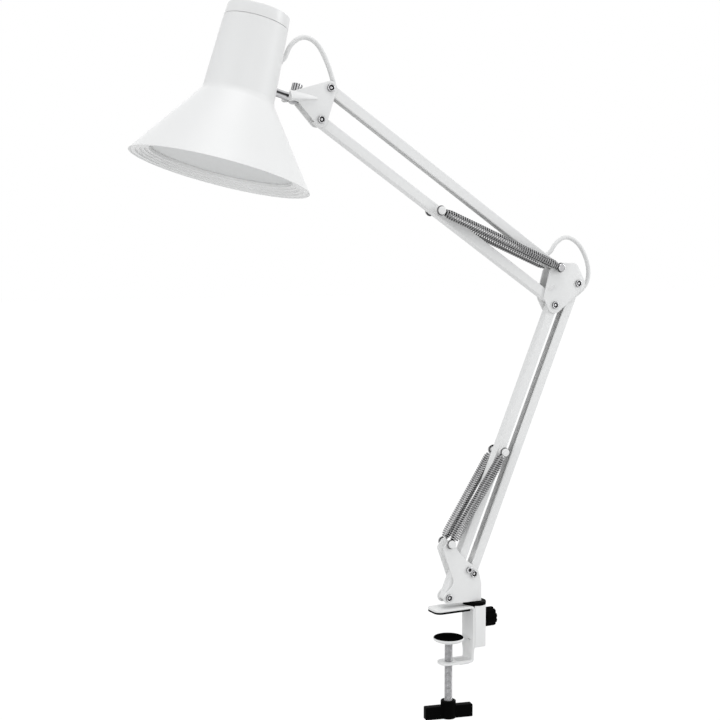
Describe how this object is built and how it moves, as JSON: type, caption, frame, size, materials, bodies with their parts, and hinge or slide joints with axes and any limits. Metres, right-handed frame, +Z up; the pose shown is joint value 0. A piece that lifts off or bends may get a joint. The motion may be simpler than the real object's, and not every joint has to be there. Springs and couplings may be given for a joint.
{
  "type": "clamp lamp",
  "caption": "White clamp-on work lamp: a screw clamp, a swivelling base, two spring-balanced parallel-bar arms and a tilting cone shade with a flat LED diffuser.",
  "frame": {"origin": "on the underside of the upper jaw's pad, on the clamp screw's axis", "axes": "+Z up along the clamp screw, -X towards the head in the arm plane, -Y to the side that faces the camera"},
  "size_m": [0.5091, 0.174, 0.7213],
  "materials": {
    "white_paint": "satin white enamel",
    "white_plastic": "white moulded",
    "white_lead": "white sheath",
    "diffuser": "frosted",
    "chrome": "bright plated",
    "steel": "turned",
    "spring_steel": "bright wire",
    "black_rubber": "matte",
    "black_plastic": "fine grain",
    "carrier": "pressed",
    "board": "white solder mask",
    "led": "phosphor"
  },
  "bodies": {
    "clamp": {"clamp_frame": "white_paint", "jaw_pad": "black_rubber", "post_box": "white_paint", "swivel_bush": "black_plastic"},
    "clamp_cup": {"pressure_cup": "white_paint", "pressure_pad": "black_rubber"},
    "clamp_screw": {"clamp_screw": "chrome", "screw_handle": "black_plastic"},
    "lock_knob": {"lock_screw": "chrome", "lock_knob": "black_plastic"},
    "base": {"base_bracket": "white_paint", "pintle": "steel", "base_front_rivet": "chrome", "base_rear_rivet": "chrome", "base_side_screws": "chrome", "base_spring_studs": "white_plastic"},
    "lower_rear_bar": {"lower_rear_bar": "white_paint", "lower_lead_run": "white_lead"},
    "lower_front_bar": {"lower_front_bar": "white_paint", "lower_spring_pin": "chrome", "lower_pin_caps": "white_plastic"},
    "lower_springs": {"lower_spring_near": "spring_steel", "lower_spring_far": "spring_steel"},
    "elbow": {"elbow_plate_near": "white_paint", "elbow_plate_far": "white_paint", "elbow_front_rivet": "chrome", "elbow_rear_rivet": "chrome", "elbow_inner_pin": "chrome", "elbow_spring_screw": "chrome", "elbow_lead_loop": "white_lead"},
    "upper_top_bar": {"upper_top_bar": "white_paint", "upper_lead_run": "white_lead"},
    "upper_lower_bar": {"upper_lower_bar": "white_paint", "upper_spring_pin": "chrome", "upper_pin_caps": "white_plastic", "upper_spring_near": "spring_steel", "upper_spring_far": "spring_steel"},
    "head_bracket": {"head_plate_near": "white_paint", "head_plate_far": "white_paint", "head_top_rivet": "chrome", "head_bottom_rivet": "chrome", "head_clamp_stud": "white_paint", "head_lead_loop": "white_lead"},
    "head_knob": {"head_lock_knob": "chrome"},
    "stem": {"stem": "chrome", "stem_nut": "chrome"},
    "shade": {"shade_shell": "white_paint", "shade_cap": "white_plastic", "rim_ring": "white_plastic", "diffuser": "diffuser", "led_carrier": "carrier", "led_board": "board", "led_chips": "led", "driver": "white_plastic", "driver_wires": "white_lead", "lead_sleeve": "white_plastic", "stem_washer": "chrome"}
  },
  "joints": [
    {"name": "base_swivel", "type": "hinge", "parent": "clamp", "child": "base", "pos_m": [0.0311, 0, 0], "axis": [0, 0, 1], "continuous": true},
    {"name": "lower_arm", "type": "hinge", "parent": "base", "child": "lower_rear_bar", "pos_m": [0.02595, 0, 0.03786], "axis": [0, -1, 0], "range_deg": [-8, 44], "deforming": ["lower_spring_near", "lower_spring_far"]},
    {"name": "lower_front", "type": "hinge", "parent": "base", "child": "lower_front_bar", "pos_m": [-0.0038, 0, 0.0152], "axis": [0, -1, 0], "range_deg": [-8, 44]},
    {"name": "lower_spring_swing", "type": "hinge", "parent": "base", "child": "lower_springs", "pos_m": [-0.0025, 0, 0.0722], "axis": [0, -1, 0], "range_deg": [-13, 67]},
    {"name": "elbow_level", "type": "hinge", "parent": "lower_rear_bar", "child": "elbow", "pos_m": [0.15411, 0, 0.33979], "axis": [0, -1, 0], "range_deg": [-44, 8], "deforming": ["elbow_lead_loop"]},
    {"name": "upper_arm", "type": "hinge", "parent": "elbow", "child": "upper_top_bar", "pos_m": [0.12771, 0, 0.35698], "axis": [0, -1, 0], "range_deg": [-35, 40], "deforming": ["upper_spring_near", "upper_spring_far", "elbow_lead_loop"]},
    {"name": "upper_follow", "type": "hinge", "parent": "elbow", "child": "upper_lower_bar", "pos_m": [0.11751, 0, 0.32634], "axis": [0, -1, 0], "range_deg": [-35, 40]},
    {"name": "head_level", "type": "hinge", "parent": "upper_top_bar", "child": "head_bracket", "pos_m": [-0.13838, 0, 0.53111], "axis": [0, -1, 0], "range_deg": [-40, 35], "deforming": ["head_lead_loop"]},
    {"name": "head_tilt", "type": "hinge", "parent": "head_bracket", "child": "stem", "pos_m": [-0.17408, 0, 0.51981], "axis": [0, -1, 0], "range_deg": [-45, 20], "deforming": ["head_lead_loop"]},
    {"name": "head_roll", "type": "hinge", "parent": "stem", "child": "shade", "pos_m": [-0.17408, 0, 0.51981], "axis": [0.9659, 0, -0.2588], "range_deg": [-60, 60], "deforming": ["head_lead_loop"]},
    {"name": "head_knob_turn", "type": "hinge", "parent": "stem", "child": "head_knob", "pos_m": [-0.17408, 0, 0.51981], "axis": [0.2588, 0, 0.9659], "range_deg": [0, 540]},
    {"name": "lock_knob_turn", "type": "hinge", "parent": "clamp", "child": "lock_knob", "pos_m": [0.042, 0, -0.012], "axis": [1, 0, 0], "range_deg": [0, 720]},
    {"name": "clamp_travel", "type": "slide", "parent": "clamp", "child": "clamp_cup", "axis": [0, 0, 1], "range_m": [-0.0125, 0.025]},
    {"name": "screw_turn", "type": "hinge", "parent": "clamp_cup", "child": "clamp_screw", "pos_m": [0, 0, -0.06], "axis": [0, 0, 1], "range_deg": [-3610, 7210]}
  ],
  "couplings": [
    {"joint": "lower_front", "follows": "lower_arm", "ratio": 1},
    {"joint": "lower_spring_swing", "follows": "lower_arm", "ratio": 1.507},
    {"joint": "elbow_level", "follows": "lower_arm", "ratio": -1},
    {"joint": "upper_follow", "follows": "upper_arm", "ratio": 1},
    {"joint": "head_level", "follows": "upper_arm", "ratio": -1},
    {"joint": "screw_turn", "follows": "clamp_travel", "rad_per_m": 5026.6}
  ]
}
